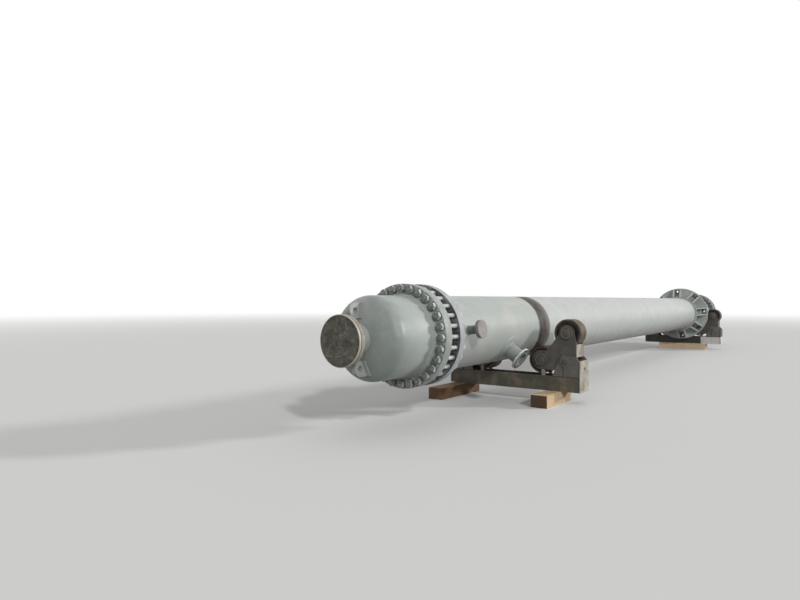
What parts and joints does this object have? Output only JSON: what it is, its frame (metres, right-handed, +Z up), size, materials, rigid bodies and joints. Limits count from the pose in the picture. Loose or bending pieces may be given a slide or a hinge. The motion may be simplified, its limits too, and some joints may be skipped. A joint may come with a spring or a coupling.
{
  "type": "shell and tube heat exchanger on turning rolls",
  "caption": "Long horizontal shell and tube heat exchanger with bolted channels, domed heads, a support ring and capped nozzles, lying on self-aligning turning rolls.",
  "frame": {"origin": "on the floor, under the middle of the vessel's length and on its centre line", "axes": "+X along the vessel from the near end (the one in front in the picture) to the far end, +Y away from the side with the nozzles, +Z up"},
  "size_m": [20.254, 2.3, 1.9797],
  "materials": {
    "vessel_paint": "satin pale grey-green paint, lightly mottled",
    "flange_paint": "satin grey-green paint",
    "flange_primer": "matt lavender-grey primer",
    "grey_primer": "matt grey primer",
    "rose_primer": "matt rose-grey primer",
    "weathered_plate": "weathered brown-grey plate with light scratches",
    "bare_steel": "bare brown-grey steel, lightly rusted",
    "dark_steel": "dark machined steel in shadow",
    "bright_stud": "bright threaded steel",
    "nut_steel": "grey coated steel",
    "rail_paint": "dark worn green-brown paint",
    "pale_rail_paint": "worn pale lavender-grey paint",
    "end_plate_paint": "worn off-white paint",
    "stand_paint": "dark charcoal paint",
    "stop_primer": "matt pinkish primer",
    "roller": "dark brown roller with a lighter worn tread",
    "timber": "rough sawn timber"
  },
  "bodies": {
    "stands": {"near_stand_rails": "rail_paint", "near_end_plates": "end_plate_paint", "near_brackets": "stand_paint", "near_rockers": "stand_paint", "near_rocker_spacers": "end_plate_paint", "near_rocker_stops": "stop_primer", "near_timbers": "timber", "far_stand_rails": "pale_rail_paint", "far_end_plates": "end_plate_paint", "far_brackets": "stand_paint", "far_rockers": "stand_paint", "far_rocker_spacers": "end_plate_paint", "far_rocker_stops": "stop_primer", "far_timbers": "timber"},
    "vessel": {"near_cover": "weathered_plate", "near_nozzle_flange": "weathered_plate", "near_nozzle_neck": "grey_primer", "near_head": "vessel_paint", "near_lifting_lugs": "vessel_paint", "near_channel": "vessel_paint", "near_channel_flange": "flange_paint", "near_tubesheet": "dark_steel", "near_shell_flange": "flange_primer", "near_girth_studs": "bright_stud", "near_girth_nuts": "nut_steel", "near_shell_course": "vessel_paint", "bare_band": "bare_steel", "main_shell": "vessel_paint", "vent_nozzle": "grey_primer", "vent_blank": "rose_primer", "side_nozzle_neck": "vessel_paint", "side_nozzle_flange": "vessel_paint", "side_nozzle_pad": "vessel_paint", "shield_plate": "dark_steel", "support_ring": "vessel_paint", "support_gussets": "vessel_paint", "support_cap_ring": "vessel_paint", "far_cover": "weathered_plate", "far_nozzle_flange": "weathered_plate", "far_nozzle_neck": "grey_primer", "far_head": "vessel_paint", "far_lifting_lugs": "vessel_paint", "far_channel": "vessel_paint", "far_channel_flange": "flange_paint", "far_tubesheet": "dark_steel", "far_shell_flange": "flange_primer", "far_girth_studs": "bright_stud", "far_girth_nuts": "nut_steel"},
    "near_roller_upper_front": {"near_roller_upper_front": "roller"},
    "near_roller_lower_front": {"near_roller_lower_front": "roller"},
    "near_roller_lower_back": {"near_roller_lower_back": "roller"},
    "near_roller_upper_back": {"near_roller_upper_back": "roller"},
    "far_roller_upper_front": {"far_roller_upper_front": "roller"},
    "far_roller_lower_front": {"far_roller_lower_front": "roller"},
    "far_roller_lower_back": {"far_roller_lower_back": "roller"},
    "far_roller_upper_back": {"far_roller_upper_back": "roller"}
  },
  "joints": [
    {"name": "vessel_turn", "type": "hinge", "parent": "stands", "child": "vessel", "pos_m": [0, 0, 1.15981], "axis": [1, 0, 0], "continuous": true},
    {"name": "near_roller_upper_front_spin", "type": "hinge", "parent": "stands", "child": "near_roller_upper_front", "pos_m": [-5.822, -0.92862, 1.09325], "axis": [1, 0, 0], "continuous": true},
    {"name": "near_roller_lower_front_spin", "type": "hinge", "parent": "stands", "child": "near_roller_lower_front", "pos_m": [-5.822, -0.5084, 0.66021], "axis": [1, 0, 0], "continuous": true},
    {"name": "near_roller_lower_back_spin", "type": "hinge", "parent": "stands", "child": "near_roller_lower_back", "pos_m": [-5.822, 0.5084, 0.66021], "axis": [1, 0, 0], "continuous": true},
    {"name": "near_roller_upper_back_spin", "type": "hinge", "parent": "stands", "child": "near_roller_upper_back", "pos_m": [-5.822, 0.92862, 1.09325], "axis": [1, 0, 0], "continuous": true},
    {"name": "far_roller_upper_front_spin", "type": "hinge", "parent": "stands", "child": "far_roller_upper_front", "pos_m": [6.75, -0.92862, 1.09325], "axis": [1, 0, 0], "continuous": true},
    {"name": "far_roller_lower_front_spin", "type": "hinge", "parent": "stands", "child": "far_roller_lower_front", "pos_m": [6.75, -0.5084, 0.66021], "axis": [1, 0, 0], "continuous": true},
    {"name": "far_roller_lower_back_spin", "type": "hinge", "parent": "stands", "child": "far_roller_lower_back", "pos_m": [6.75, 0.5084, 0.66021], "axis": [1, 0, 0], "continuous": true},
    {"name": "far_roller_upper_back_spin", "type": "hinge", "parent": "stands", "child": "far_roller_upper_back", "pos_m": [6.75, 0.92862, 1.09325], "axis": [1, 0, 0], "continuous": true}
  ],
  "couplings": [
    {"joint": "near_roller_lower_front_spin", "follows": "vessel_turn", "ratio": -2.3529},
    {"joint": "near_roller_lower_back_spin", "follows": "vessel_turn", "ratio": -2.3529},
    {"joint": "far_roller_lower_front_spin", "follows": "vessel_turn", "ratio": -2.3529},
    {"joint": "far_roller_lower_back_spin", "follows": "vessel_turn", "ratio": -2.3529}
  ]
}
